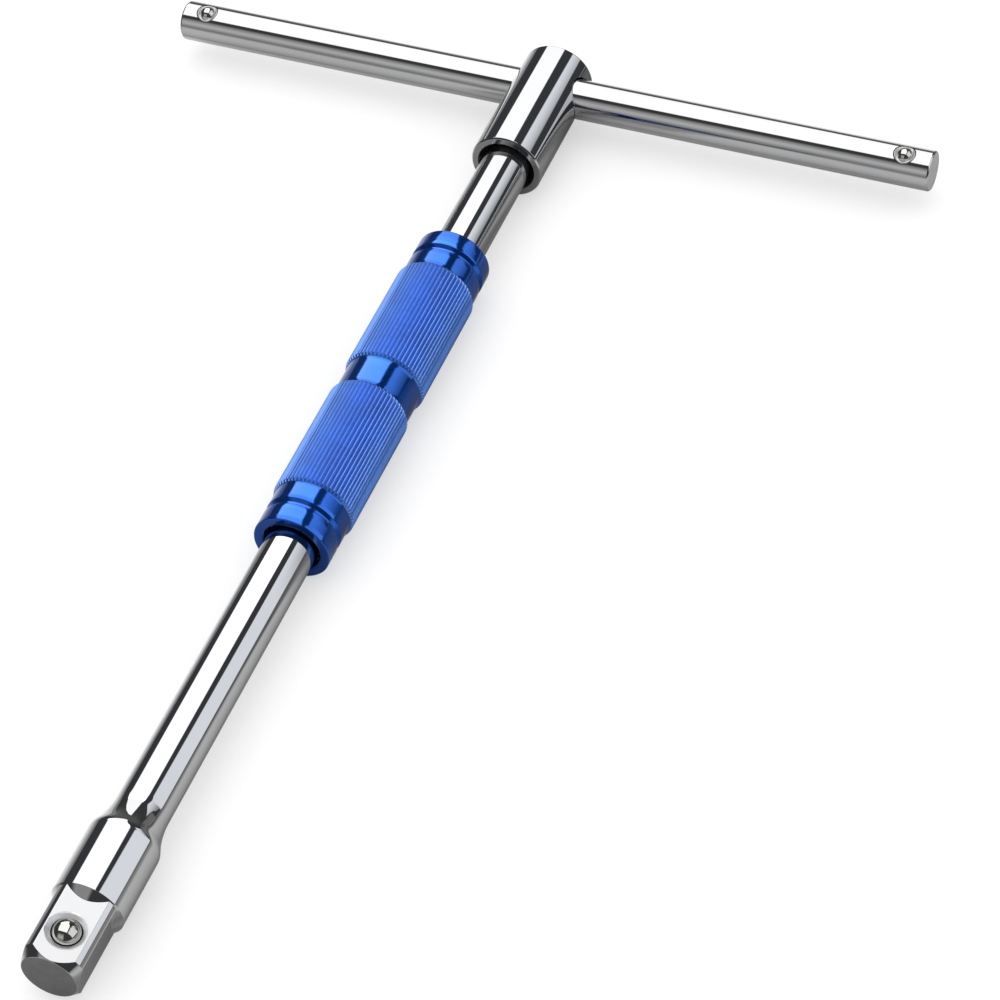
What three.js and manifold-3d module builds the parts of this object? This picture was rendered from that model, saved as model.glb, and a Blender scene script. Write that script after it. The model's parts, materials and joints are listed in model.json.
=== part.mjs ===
// Sliding T-handle socket wrench, 12.7 mm (1/2 inch) square drive.
//
// Frame: the tool lies flat. +Y runs along the shank from the drive end to the head, +X along the
// cross bar, +Z up, square to the plane of the T. The origin is the centre of the drive square's
// end face. Millimetres.

import * as THREE from 'three';
import { mergeVertices } from 'three/addons/utils/BufferGeometryUtils.js';
import Module from 'manifold-3d';

const wasm = await Module();
wasm.setup();

const { degToRad } = THREE.MathUtils;

// ---------------------------------------------------------------- driving dimensions (mm)

// square drive
const DRIVE_AF = 12.7;            // across flats
const DRIVE_CORNER_R = 7.9;       // turned radius over the corners
const DRIVE_TIP_R = 6.7;          // end face radius, before the corner chamfer starts
const DRIVE_TIP_CHAMFER = 1.7;    // length of the corner chamfer
const DRIVE_TWIST = degToRad(12.5); // ball flat leans from +Z toward +X
const SHOULDER_Y = 15.75;         // where the shoulder cone meets the middle of a flat
const SHOULDER_SLOPE = 1.2;       // rise of the shoulder cone per mm of radius

// shank
const BODY_R = 8.13;
const BODY_START = 17.9;
const BODY_END = 35.3;
const NECK = [[7.9, 35.95], [7.42, 37.1], [6.8, 38.9], [6.33, 41.2]];  // [radius, y]
const NECK_END = 43.6;
const ROD_R = 6.05;
const ROD_END = 272.0;            // inside the head
const ROD_END_CHAMFER = { radial: 0.5, length: 0.6 };
const RING_GROOVE_R = 5.45;
const RING_GROOVE_W = 1.2;

// retaining ball in the drive; heights are above the shank's axis
const DRIVE_BALL_R = 3.175;
const DRIVE_BALL_Y = 7.75;
const DRIVE_BALL_H = 5.15;        // ball centre
const DRIVE_HOLE_R = 3.3;
const DRIVE_HOLE_FLOOR = -3.9;
const DRIVE_HOLE_TOP = 5.3;       // where the hole starts to narrow to the lip
const DRIVE_LIP_R = 3.13;
const DRIVE_LIP_H = 5.82;
const DRIVE_SINK_R = 4.3;         // countersink, where it meets the flat
const DRIVE_SINK_SLOPE = 0.453;   // rise of the countersink per mm of radius
const DRIVE_SPRING = {
  radius: 2.25, wireRadius: 0.35, from: DRIVE_HOLE_FLOOR + 0.1, to: 2.1, turns: 4.5,
};

// grip sleeve
const GRIP_START = 121.2;
const GRIP_END = 218.1;
const COLLAR_R = 9.12;
const KNURL_R = 9.78;             // raised bands, left smooth
const WAIST_R = 9.1;
const GROOVE_R = 8.35;
const GRIP_SEAT_R = 6.85;         // end counterbores, hold the bushes
const GRIP_BORE_R = 6.4;          // middle bore
const SEAT_DEPTH = 14.3;
const MOUTH_CHAMFER = 0.25;

// bushes, washers and snap rings in the sleeve's ends; from, to and SNAP_AT are distances
// from the sleeve's end face
const BUSH = { rIn: 6.2, rOut: 6.78, from: 4.1, to: 14.1 };
const WASHER = { rIn: 6.17, rOut: 6.72, from: 3.45, to: 3.95 };
const SNAP_AT = 2.8;
const SNAP_R = 6.0;
const SNAP_WIRE_R = 0.45;
const SNAP_GAP = degToRad(50);

// head
const HEAD_R = 9.06;
const HEAD_START = 251.95;
const HEAD_END = 288.5;
const HEAD_BORE_R = 6.1;
const HEAD_BORE_END = 272.3;
const BORE_MOUTH_R = 7.35;
const BORE_MOUTH_DEPTH = 1.6;
const CROSS_Y = 280.6;            // cross bar axis
const CROSS_BORE_R = 5.2;
const CROSS_SINK_FROM = 8.75;     // start of the 45 degree mouth cones, from the head's axis
const RING_SEAT_R = 6.4;
const RING_SEAT_W = 2.6;

// head pin; depths are from the back (-Z side) of the head
const PIN_R = 1.5;
const PIN_LENGTH = 9.8;
const PIN_SINK = 0.15;            // depth of the pin's outer end
const PIN_Y = 262.0;
const PIN_HOLE_R = 1.6;
const PIN_HOLE_DEPTH = 10.4;

// friction ring in the cross bore
const FRICTION_R_IN = 5.12;
const FRICTION_R_OUT = 6.28;
const FRICTION_W = 2.2;
const FRICTION_LAND_W = 0.9;      // flat on the inner face
const FRICTION_CHAMFER = 0.3;

// cross bar
const BAR_R = 5.0;
const BAR_X0 = -99.1;
const BAR_X1 = 99.5;
const BAR_CHAMFER = { radial: 0.75, length: 0.8 };

// ball plungers in the cross bar; heights are above the bar's axis
const BALL_X = 92.5;              // distance of each bar ball from the head's axis
const BALL_LEAN = degToRad(12);   // bar balls lean from +Z toward -Y
const BAR_BALL_R = 2.0;
const BAR_BALL_H = 3.95;          // ball centre
const CUP_R = 2.7;                // pressed-in plunger cup
const CUP_FLOOR = -1.3;           // underside of the cup
const CUP_FLOOR_TOP = CUP_FLOOR + 0.5;
const CUP_BORE_R = 2.1;
const CUP_BORE_TOP = 4.2;         // where the bore starts to narrow to the lip
const CUP_LIP_R = 1.9;
const CUP_LIP_H = 4.75;
const CUP_BLANK_TOP = 7;          // before the cup is trimmed to the bar
const CUP_TRIM = 0.02;            // the cup's top lies this far under the bar's surface
const CUP_HOLE_R = 2.76;
const CUP_HOLE_FLOOR = CUP_FLOOR - 0.15;
const BAR_SPRING = {
  radius: 1.4, wireRadius: 0.22, from: CUP_FLOOR_TOP + 0.1, to: 2.15, turns: 4,
};

// facets round a turned part
const BODY_FACETS = 36;
const BORE_FACETS = 32;
const RING_FACETS = 30;
const SMALL_FACETS = 28;
const PIN_FACETS = 20;

// ---------------------------------------------------------------- finishes

const finish = (color, roughness, metalness) =>
  () => new THREE.MeshStandardMaterial({ color, roughness, metalness });

const chrome = finish(0xd4d6da, 0.06, 1.0);
const ballSteel = finish(0x9c9c92, 0.1, 1.0);
const anodised = finish(0x1c52c4, 0.22, 0.9);
const springSteel = finish(0x55585c, 0.35, 1.0);
const blackPlastic = finish(0x101114, 0.5, 0.0);
const rubber = finish(0x18181a, 0.8, 0.0);

// ---------------------------------------------------------------- solids and meshes

// Closed, welded, outward-facing solid from any closed three.js geometry, moved by a matrix.
function solid(geometry, matrix = new THREE.Matrix4()) {
  const bare = geometry.clone().applyMatrix4(matrix);
  bare.deleteAttribute('normal');
  bare.deleteAttribute('uv');
  const welded = mergeVertices(bare, 1e-5);
  const { position } = welded.attributes;
  const index = welded.index.array;
  const corners = [0, 1, 2].map(() => new THREE.Vector3());
  const [a, b, c] = corners;
  const triangles = [];
  let volume = 0;
  for (let i = 0; i < index.length; i += 3) {
    const triangle = Array.from(index.slice(i, i + 3));
    // welding collapses some triangles, such as those at the poles
    if (new Set(triangle).size < 3) continue;
    triangles.push(triangle);
    corners.forEach((corner, k) => corner.fromBufferAttribute(position, triangle[k]));
    volume += a.dot(b.cross(c));
  }
  if (volume < 0) {
    for (const triangle of triangles) [triangle[1], triangle[2]] = [triangle[2], triangle[1]];
  }
  return new wasm.Manifold(new wasm.Mesh({
    numProp: 3,
    vertProperties: Float32Array.from(position.array),
    triVerts: Uint32Array.from(triangles.flat()),
  }));
}

function toGeometry(manifold) {
  const mesh = manifold.getMesh();
  const geometry = new THREE.BufferGeometry();
  const positions = Float32Array.from(mesh.vertProperties);
  geometry.setAttribute('position', new THREE.BufferAttribute(positions, 3));
  geometry.setIndex(new THREE.BufferAttribute(Uint32Array.from(mesh.triVerts), 1));
  geometry.computeVertexNormals();
  return geometry;
}

const root = new THREE.Group();

function add(name, geometry, material) {
  const mesh = new THREE.Mesh(geometry, material);
  mesh.name = name;
  root.add(mesh);
  return mesh;
}

const addSolid = (name, manifold, material) => add(name, toGeometry(manifold), material);

// ---------------------------------------------------------------- shapes about Y

// Turned part from [radius, y] pairs. Ends on the axis, or loops back to its start.
function turned(profile, segments = BODY_FACETS) {
  return new THREE.LatheGeometry(profile.map(([r, y]) => new THREE.Vector2(r, y)), segments);
}

// Solid cylinder.
const rod = (r, y0, y1, segments) => turned([[0, y0], [r, y0], [r, y1], [0, y1]], segments);

// Plain ring.
function ring(rIn, rOut, y0, y1) {
  return turned([[rIn, y0], [rOut, y0], [rOut, y1], [rIn, y1], [rIn, y0]], RING_FACETS);
}

// Ball with its centre at the given height.
function ball(radius, height, widthSegments, heightSegments) {
  return new THREE.SphereGeometry(radius, widthSegments, heightSegments).translate(0, height, 0);
}

// Round wire swept along a path.
function wire(radius, sides, steps, extrudePath) {
  const points = Array.from({ length: sides }, (_, i) => {
    const angle = 2 * Math.PI * i / sides;
    return new THREE.Vector2(radius * Math.cos(angle), radius * Math.sin(angle));
  });
  const section = new THREE.Shape(points);
  section.closePath();
  return new THREE.ExtrudeGeometry(section, { steps, extrudePath, bevelEnabled: false });
}

// Helix from y0 to y1 that rises more slowly at its ends.
class Coil extends THREE.Curve {
  static END_TURNS = 0.7;   // turns in each slow end
  static END_RISE = 0.12;   // share of the height that each slow end climbs

  constructor(radius, y0, y1, turns) {
    super();
    Object.assign(this, { radius, y0, y1, turns });
  }

  // Share of the height reached at t.
  riseAt(t) {
    const { END_TURNS, END_RISE } = Coil;
    const end = END_TURNS / this.turns;
    if (t < end) return END_RISE * t / end;
    if (t > 1 - end) return 1 - END_RISE * (1 - t) / end;
    return END_RISE + (1 - 2 * END_RISE) * (t - end) / (1 - 2 * end);
  }

  getPoint(t, target = new THREE.Vector3()) {
    const angle = 2 * Math.PI * this.turns * t;
    const y = this.y0 + (this.y1 - this.y0) * this.riseAt(t);
    return target.set(this.radius * Math.cos(angle), y, this.radius * Math.sin(angle));
  }
}

function coilSpring({ radius, wireRadius, from, to, turns }) {
  const path = new Coil(radius, from + wireRadius, to - wireRadius, turns);
  return wire(wireRadius, 5, Math.round(turns * 10), path);
}

// Circle with a gap centred on +X.
class OpenRing extends THREE.Curve {
  constructor(radius, y, gap) {
    super();
    Object.assign(this, { radius, y, gap });
  }

  getPoint(t, target = new THREE.Vector3()) {
    const angle = this.gap / 2 + (2 * Math.PI - this.gap) * t;
    return target.set(this.radius * Math.cos(angle), this.y, this.radius * Math.sin(angle));
  }
}

const snapRing = (y) => wire(SNAP_WIRE_R, 6, 22, new OpenRing(SNAP_R, y, SNAP_GAP));

// ---------------------------------------------------------------- placements

const shift = (x, y, z) => new THREE.Matrix4().makeTranslation(x, y, z);
const turnX = (angle) => new THREE.Matrix4().makeRotationX(angle);
const turnY = (angle) => new THREE.Matrix4().makeRotationY(angle);
const turnZ = (angle) => new THREE.Matrix4().makeRotationZ(angle);

// Each takes a part about Y. Stood up along the ball flat's normal:
const onDrive = turnY(DRIVE_TWIST)
  .multiply(shift(0, DRIVE_BALL_Y, 0))
  .multiply(turnX(Math.PI / 2));
// Stood up along the bar ball's direction, at x along the bar:
const onBar = (x) => shift(x, CROSS_Y, 0)
  .multiply(turnX(BALL_LEAN))
  .multiply(turnX(Math.PI / 2));
// Laid along the cross bar:
const alongBar = shift(0, CROSS_Y, 0).multiply(turnZ(-Math.PI / 2));

// ---------------------------------------------------------------- shank

const shoulderAt = (r) => SHOULDER_Y + SHOULDER_SLOPE * (r - DRIVE_AF / 2);

function ringGroove(y) {
  const [y0, y1] = [y - RING_GROOVE_W / 2, y + RING_GROOVE_W / 2];
  return [[ROD_R, y0], [RING_GROOVE_R, y0], [RING_GROOVE_R, y1], [ROD_R, y1]];
}

// Everything outside the square and below the shoulder cone.
function milledAway() {
  const start = -2;
  const reach = 13;
  const blank = turned([
    [0, start], [reach, start], [reach, shoulderAt(reach)], [0, shoulderAt(0)],
  ]);
  const square = new THREE.BoxGeometry(DRIVE_AF, 60, DRIVE_AF);
  return solid(blank).subtract(solid(square, turnY(DRIVE_TWIST).multiply(shift(0, 20, 0))));
}

function driveHole() {
  return solid(turned([
    [0, DRIVE_HOLE_FLOOR], [DRIVE_HOLE_R, DRIVE_HOLE_FLOOR], [DRIVE_HOLE_R, DRIVE_HOLE_TOP],
    [DRIVE_LIP_R, DRIVE_LIP_H], [DRIVE_SINK_R, DRIVE_AF / 2],
    [DRIVE_SINK_R + 1, DRIVE_AF / 2 + DRIVE_SINK_SLOPE], [0, 9],
  ], BORE_FACETS), onDrive);
}

// Blind hole, open toward -Z.
function shankPinHole() {
  const place = shift(0, PIN_Y, PIN_HOLE_DEPTH - HEAD_R).multiply(turnX(-Math.PI / 2));
  return solid(rod(PIN_HOLE_R, 0, 30, PIN_FACETS), place);
}

function shank() {
  const blank = turned([
    [0, 0], [DRIVE_TIP_R, 0], [DRIVE_CORNER_R, DRIVE_TIP_CHAMFER],
    [DRIVE_CORNER_R, shoulderAt(DRIVE_CORNER_R)],
    [BODY_R, BODY_START], [BODY_R, BODY_END], ...NECK, [ROD_R, NECK_END],
    ...ringGroove(GRIP_START + SNAP_AT), ...ringGroove(GRIP_END - SNAP_AT),
    [ROD_R, ROD_END - ROD_END_CHAMFER.length], [ROD_R - ROD_END_CHAMFER.radial, ROD_END],
    [0, ROD_END],
  ]);
  return solid(blank).subtract(milledAway()).subtract(driveHole()).subtract(shankPinHole());
}

addSolid('shank', shank(), chrome());

// ---------------------------------------------------------------- drive ball and its spring

addSolid('drive_ball', solid(ball(DRIVE_BALL_R, DRIVE_BALL_H, 22, 14), onDrive), ballSteel());
addSolid('drive_ball_spring', solid(coilSpring(DRIVE_SPRING), onDrive), springSteel());

// ---------------------------------------------------------------- grip sleeve

const collarGroove = (y) => [
  [COLLAR_R, y], [GROOVE_R, y + 0.75], [GROOVE_R, y + 1.3], [COLLAR_R, y + 2],
];

// [radius, y], up the outside and back down the bore
const sleeveProfile = [
  [GRIP_SEAT_R + MOUTH_CHAMFER, GRIP_START],
  [COLLAR_R - 0.3, GRIP_START], [COLLAR_R, GRIP_START + 0.3],
  ...collarGroove(126.1),
  [COLLAR_R, 132.95], [KNURL_R, 133.65],
  [KNURL_R, 165.1], [WAIST_R, 165.95], [WAIST_R, 174.15], [KNURL_R, 174.85],
  [KNURL_R, 205.6], [COLLAR_R, 206.45],
  ...collarGroove(211.3),
  [COLLAR_R, GRIP_END - 0.8], [COLLAR_R - 0.25, GRIP_END - 0.25], [COLLAR_R - 0.7, GRIP_END],
  [GRIP_SEAT_R + MOUTH_CHAMFER, GRIP_END], [GRIP_SEAT_R, GRIP_END - MOUTH_CHAMFER],
  [GRIP_SEAT_R, GRIP_END - SEAT_DEPTH], [GRIP_BORE_R, GRIP_END - SEAT_DEPTH],
  [GRIP_BORE_R, GRIP_START + SEAT_DEPTH], [GRIP_SEAT_R, GRIP_START + SEAT_DEPTH],
  [GRIP_SEAT_R, GRIP_START + MOUTH_CHAMFER], [GRIP_SEAT_R + MOUTH_CHAMFER, GRIP_START],
];

// turned half a facet about its axis, so that the sleeve stands on a flat
const halfFacet = turnY(Math.PI / BODY_FACETS);
addSolid('grip_sleeve', solid(turned(sleeveProfile), halfFacet), anodised());

// The same ring inside each end of the sleeve.
function addEndRings(name, { rIn, rOut, from, to }, material) {
  add(`lower_${name}`, ring(rIn, rOut, GRIP_START + from, GRIP_START + to), material());
  add(`upper_${name}`, ring(rIn, rOut, GRIP_END - to, GRIP_END - from), material());
}

addEndRings('bush', BUSH, blackPlastic);
addEndRings('thrust_washer', WASHER, springSteel);
add('lower_snap_ring', snapRing(GRIP_START + SNAP_AT), springSteel());
add('upper_snap_ring', snapRing(GRIP_END - SNAP_AT), springSteel());

// ---------------------------------------------------------------- head

// Cross bore with a small countersink at each mouth and a seat for the friction ring.
function crossBore() {
  const reach = 12;
  const mouthR = CROSS_BORE_R + reach - CROSS_SINK_FROM;
  const seat = RING_SEAT_W / 2;
  return solid(turned([
    [0, -reach], [mouthR, -reach], [CROSS_BORE_R, -CROSS_SINK_FROM], [CROSS_BORE_R, -seat],
    [RING_SEAT_R, -seat], [RING_SEAT_R, seat], [CROSS_BORE_R, seat],
    [CROSS_BORE_R, CROSS_SINK_FROM], [mouthR, reach], [0, reach],
  ], BORE_FACETS), alongBar);
}

// Through the back wall only.
function headPinHole() {
  const place = shift(0, PIN_Y, 0).multiply(turnX(Math.PI / 2));
  return solid(rod(PIN_HOLE_R, -12, 0, PIN_FACETS), place);
}

function head() {
  const blank = turned([
    [0, HEAD_BORE_END], [HEAD_BORE_R, HEAD_BORE_END],
    [HEAD_BORE_R, HEAD_START + BORE_MOUTH_DEPTH], [BORE_MOUTH_R, HEAD_START],
    // rounded lower edge
    [8.25, HEAD_START], [8.64, HEAD_START + 0.12], [8.92, HEAD_START + 0.45],
    [HEAD_R, HEAD_START + 1.1],
    // rounded upper edge
    [HEAD_R, HEAD_END - 0.7], [HEAD_R - 0.18, HEAD_END - 0.25], [HEAD_R - 0.55, HEAD_END],
    [0, HEAD_END],
  ]);
  return solid(blank).subtract(crossBore()).subtract(headPinHole());
}

addSolid('head', head(), chrome());

// dowel pin pushed in from the back, its end just under the head's surface
const pin = add('head_pin', turned([
  [0, 0], [PIN_R - 0.2, 0], [PIN_R, 0.2],
  [PIN_R, PIN_LENGTH - 0.3], [PIN_R - 0.3, PIN_LENGTH], [0, PIN_LENGTH],
], PIN_FACETS), springSteel());
pin.position.set(0, PIN_Y, PIN_SINK - HEAD_R);
pin.rotation.x = Math.PI / 2;

// Rubber ring in the cross bore.
function frictionRing() {
  const side = FRICTION_W / 2;
  const land = FRICTION_LAND_W / 2;
  const innerEdge = FRICTION_R_IN + FRICTION_CHAMFER;
  const outerEdge = FRICTION_R_OUT - FRICTION_CHAMFER;
  return turned([
    [FRICTION_R_IN, -land], [innerEdge, -side], [outerEdge, -side],
    [FRICTION_R_OUT, -side + FRICTION_CHAMFER], [FRICTION_R_OUT, side - FRICTION_CHAMFER],
    [outerEdge, side], [innerEdge, side], [FRICTION_R_IN, land], [FRICTION_R_IN, -land],
  ], SMALL_FACETS);
}

const friction = add('bar_friction_ring', frictionRing(), rubber());
friction.position.set(0, CROSS_Y, 0);
friction.rotation.z = -Math.PI / 2;

// ---------------------------------------------------------------- cross bar with its ball plungers

function crossbar() {
  const blank = turned([
    [0, BAR_X0], [BAR_R - BAR_CHAMFER.radial, BAR_X0], [BAR_R, BAR_X0 + BAR_CHAMFER.length],
    [BAR_R, BAR_X1 - BAR_CHAMFER.length], [BAR_R - BAR_CHAMFER.radial, BAR_X1], [0, BAR_X1],
  ]);
  const cupHole = rod(CUP_HOLE_R, CUP_HOLE_FLOOR, 9, SMALL_FACETS);
  return solid(blank, alongBar)
    .subtract(solid(cupHole, onBar(-BALL_X)))
    .subtract(solid(cupHole, onBar(BALL_X)));
}

// Plunger cup, its top trimmed to follow the bar's surface.
function plungerBody(x) {
  const cup = turned([
    [0, CUP_FLOOR], [CUP_R, CUP_FLOOR], [CUP_R, CUP_BLANK_TOP], [CUP_LIP_R, CUP_BLANK_TOP],
    [CUP_LIP_R, CUP_LIP_H], [CUP_BORE_R, CUP_BORE_TOP], [CUP_BORE_R, CUP_FLOOR_TOP],
    [0, CUP_FLOOR_TOP],
  ], SMALL_FACETS);
  const envelope = rod(BAR_R - CUP_TRIM, -120, 120, BODY_FACETS);
  return solid(cup, onBar(x)).intersect(solid(envelope, alongBar));
}

addSolid('crossbar', crossbar(), chrome());
for (const [side, x] of [['left', -BALL_X], ['right', BALL_X]]) {
  const place = onBar(x);
  addSolid(`${side}_plunger_body`, plungerBody(x), springSteel());
  addSolid(`${side}_ball`, solid(ball(BAR_BALL_R, BAR_BALL_H, 16, 11), place), ballSteel());
  addSolid(`${side}_ball_spring`, solid(coilSpring(BAR_SPRING), place), springSteel());
}

export default root;
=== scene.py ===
"""Sliding T-handle socket wrench: fine surfaces, finishes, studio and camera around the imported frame."""
import json
import math

import bmesh
import bpy
import numpy as np
from mathutils import Matrix, Vector


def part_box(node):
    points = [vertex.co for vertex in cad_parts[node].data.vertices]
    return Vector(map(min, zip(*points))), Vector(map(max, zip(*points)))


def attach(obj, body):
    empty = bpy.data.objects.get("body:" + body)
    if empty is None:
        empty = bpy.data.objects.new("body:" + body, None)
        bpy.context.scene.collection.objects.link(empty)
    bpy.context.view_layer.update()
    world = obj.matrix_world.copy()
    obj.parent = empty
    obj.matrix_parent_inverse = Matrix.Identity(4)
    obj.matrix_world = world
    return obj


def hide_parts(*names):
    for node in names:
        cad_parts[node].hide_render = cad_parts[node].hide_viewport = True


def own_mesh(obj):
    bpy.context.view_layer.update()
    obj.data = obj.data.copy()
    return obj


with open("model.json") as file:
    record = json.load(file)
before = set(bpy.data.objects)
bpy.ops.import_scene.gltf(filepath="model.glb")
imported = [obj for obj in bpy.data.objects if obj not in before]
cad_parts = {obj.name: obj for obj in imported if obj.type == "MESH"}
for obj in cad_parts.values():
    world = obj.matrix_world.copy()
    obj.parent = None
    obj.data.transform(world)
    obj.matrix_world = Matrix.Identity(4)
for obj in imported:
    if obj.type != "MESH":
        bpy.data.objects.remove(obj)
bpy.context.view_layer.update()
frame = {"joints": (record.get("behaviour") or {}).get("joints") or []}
joints = {j["name"]: j for j in frame["joints"]}
MM = 0.001
scene = bpy.context.scene


# ---------------------------------------------------------------- measures taken from the frame (mm)

def mm_box(node):
    lo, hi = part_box(node)
    return np.array(lo) / MM, np.array(hi) / MM


def unit(v):
    v = np.asarray(v, float)
    return v / np.linalg.norm(v)


bar_lo, bar_hi = mm_box("crossbar")
head_lo, head_hi = mm_box("head")
grip_lo, grip_hi = mm_box("grip_sleeve")
CROSS_Y = joints["bar_turn"]["pos_m"][1] / MM
BAR_X0, BAR_X1 = bar_lo[0], bar_hi[0]
BAR_R = 5.0
G0, G1 = grip_lo[1], grip_hi[1]
H0, H1 = head_lo[1], head_hi[1]
HEAD_R = 9.06
FLAT = 6.35                       # half of the 12.7 mm square
CORNER_R, BODY_R, ROD_R = 7.9, 8.13, 6.05
BALL_DIR = -unit(joints["drive_ball_press"]["axis"])       # out of the ball flat
BAR_BALL_DIR = -unit(joints["left_ball_press"]["axis"])    # out of the bar, on the balls' side
DRIVE_BALL_Y = 7.75


# ---------------------------------------------------------------- mesh helpers

def new_object(name, verts, faces, smooth=True, scale=MM):
    me = bpy.data.meshes.new(name)
    me.from_pydata([tuple(float(c) * scale for c in v) for v in verts], [], faces)
    me.validate()
    me.update()
    o = bpy.data.objects.new(name, me)
    scene.collection.objects.link(o)
    if smooth:
        me.polygons.foreach_set("use_smooth", [True] * len(me.polygons))
    return o


def clean(o, dist=2e-4, fix=True):
    """Merges doubled points, drops faces without area and turns the faces outward."""
    bm = bmesh.new()
    bm.from_mesh(o.data)
    bmesh.ops.remove_doubles(bm, verts=bm.verts, dist=dist * MM)
    bmesh.ops.dissolve_degenerate(bm, edges=bm.edges, dist=dist * MM * 0.5)
    if fix:
        bmesh.ops.recalc_face_normals(bm, faces=bm.faces)
    bm.to_mesh(o.data)
    bm.free()
    o.data.polygons.foreach_set("use_smooth", [True] * len(o.data.polygons))
    return o


def bake_modifiers(o):
    dg = bpy.context.evaluated_depsgraph_get()
    me = bpy.data.meshes.new_from_object(o.evaluated_get(dg), preserve_all_data_layers=True, depsgraph=dg)
    o.modifiers.clear()
    old = o.data
    o.data = me
    me.name = o.name
    bpy.data.meshes.remove(old)
    return o


def cut(o, *tools):
    for t in tools:
        m = o.modifiers.new("cut", "BOOLEAN")
        m.operation, m.solver, m.object = "DIFFERENCE", "EXACT", t
        bake_modifiers(o)
        bpy.data.objects.remove(t)
    return o


def corner(points, seg=4):
    """Polyline through (r, y, radius) points with each corner rounded by its radius."""
    pts = [np.array(p[:2], float) for p in points]
    rad = [p[2] if len(p) > 2 else 0.0 for p in points]
    out = []
    for i, p in enumerate(pts):
        if rad[i] <= 0 or i == 0 or i == len(pts) - 1:
            out.append(tuple(p))
            continue
        a, b = pts[i - 1] - p, pts[i + 1] - p
        la, lb = np.linalg.norm(a), np.linalg.norm(b)
        if la < 1e-9 or lb < 1e-9:
            out.append(tuple(p))
            continue
        a, b = a / la, b / lb
        cosang = float(np.clip(a @ b, -1, 1))
        ang = math.acos(cosang)
        if ang > math.pi - 1e-3:
            out.append(tuple(p))
            continue
        t = min(rad[i] / math.tan(ang / 2), 0.48 * la, 0.48 * lb)
        r = t * math.tan(ang / 2)
        centre = p + (a + b) / np.linalg.norm(a + b) * (r / math.sin(ang / 2))
        s, e = p + a * t - centre, p + b * t - centre
        sweep = math.pi - ang
        for k in range(seg + 1):
            f = k / seg
            v = (math.sin((1 - f) * sweep) * s + math.sin(f * sweep) * e) / max(math.sin(sweep), 1e-9)
            out.append(tuple(centre + v))
    return out


def split_long(profile, longest):
    """Adds points so that no step along the profile is longer than longest."""
    out = [profile[0]]
    for p, q in zip(profile, profile[1:]):
        n = max(1, math.ceil(math.dist(p, q) / longest))
        for k in range(1, n + 1):
            out.append((p[0] + (q[0] - p[0]) * k / n, p[1] + (q[1] - p[1]) * k / n))
    return out


def turned(name, profile, columns=96, place=None, closed=False, angles=None):
    """Turned surface about Y from (r, y) points; place maps the points. closed joins the last point to the first."""
    angles = np.linspace(0, 2 * math.pi, columns, endpoint=False) if angles is None else np.asarray(angles, float)
    n = len(angles)
    verts, rings = [], []
    for r, y in profile:
        if r < 1e-7:
            rings.append([len(verts)] * n)
            verts.append((0.0, y, 0.0))
        else:
            rings.append(list(range(len(verts), len(verts) + n)))
            verts.extend((r * math.sin(a), y, r * math.cos(a)) for a in angles)
    faces = []
    pairs = list(zip(rings, rings[1:])) + ([(rings[-1], rings[0])] if closed else [])
    for a, b in pairs:
        for i in range(n):
            j = (i + 1) % n
            f = [a[i], a[j], b[j], b[i]]
            f = [v for k, v in enumerate(f) if v != f[k - 1]]
            if len(set(f)) >= 3:
                faces.append(f)
    v = np.array(verts)
    if place is not None:
        v = place(v)
    return clean(new_object(name, v, faces))


def stand(base, direction, side=(0, 1, 0)):
    """Maps a tool turned about Y so that Y points along direction from base."""
    w = unit(direction)
    u = unit(np.cross(np.asarray(side, float), w))
    s = np.cross(w, u)
    base = np.asarray(base, float)
    return lambda v: base + np.outer(v[:, 0], u) + np.outer(v[:, 1], w) + np.outer(v[:, 2], s)


def along_x(y=0.0, z=0.0):
    return lambda v: np.stack([v[:, 1], y + v[:, 0], z + v[:, 2]], 1)


def sweep(name, path, radius, sides=14, closed=False, flat_ends=None):
    """Round wire along a path (n x 3, mm) with rounded-off ends."""
    path = np.asarray(path, float)
    n = len(path)
    tan = np.gradient(path, axis=0)
    tan /= np.linalg.norm(tan, axis=1)[:, None]
    up = np.array([0.0, 1.0, 0.0]) if abs(tan[0][1]) < 0.9 else np.array([1.0, 0, 0])
    u = unit(np.cross(up, tan[0]))
    verts, rings = [], []
    scales = np.ones(n)
    shifts = np.zeros(n)
    frames = []
    for i in range(n):
        u = unit(u - tan[i] * (u @ tan[i]))
        frames.append((u.copy(), np.cross(tan[i], u)))
    for i in range(n):
        a, b = frames[i]
        rings.append(list(range(len(verts), len(verts) + sides)))
        for k in range(sides):
            t = 2 * math.pi * k / sides
            verts.append(path[i] + radius * scales[i] * (math.cos(t) * a + math.sin(t) * b))
    faces = []
    for i in range(n - 1):
        for k in range(sides):
            j = (k + 1) % sides
            faces.append([rings[i][k], rings[i][j], rings[i + 1][j], rings[i + 1][k]])
    # domed ends
    for end, sign in ((0, -1), (n - 1, 1)):
        a, b = frames[end]
        last = rings[end]
        for q in (0.45, 0.8):
            ring = list(range(len(verts), len(verts) + sides))
            rr, dd = radius * math.cos(q * math.pi / 2), radius * 0.55 * math.sin(q * math.pi / 2)
            for k in range(sides):
                t = 2 * math.pi * k / sides
                verts.append(path[end] + sign * tan[end] * dd + rr * (math.cos(t) * a + math.sin(t) * b))
            for k in range(sides):
                j = (k + 1) % sides
                faces.append([last[k], last[j], ring[j], ring[k]])
            last = ring
        tip = len(verts)
        verts.append(path[end] + sign * tan[end] * radius * 0.55)
        for k in range(sides):
            faces.append([last[k], last[(k + 1) % sides], tip])
    return clean(new_object(name, np.array(verts), faces))


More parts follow.
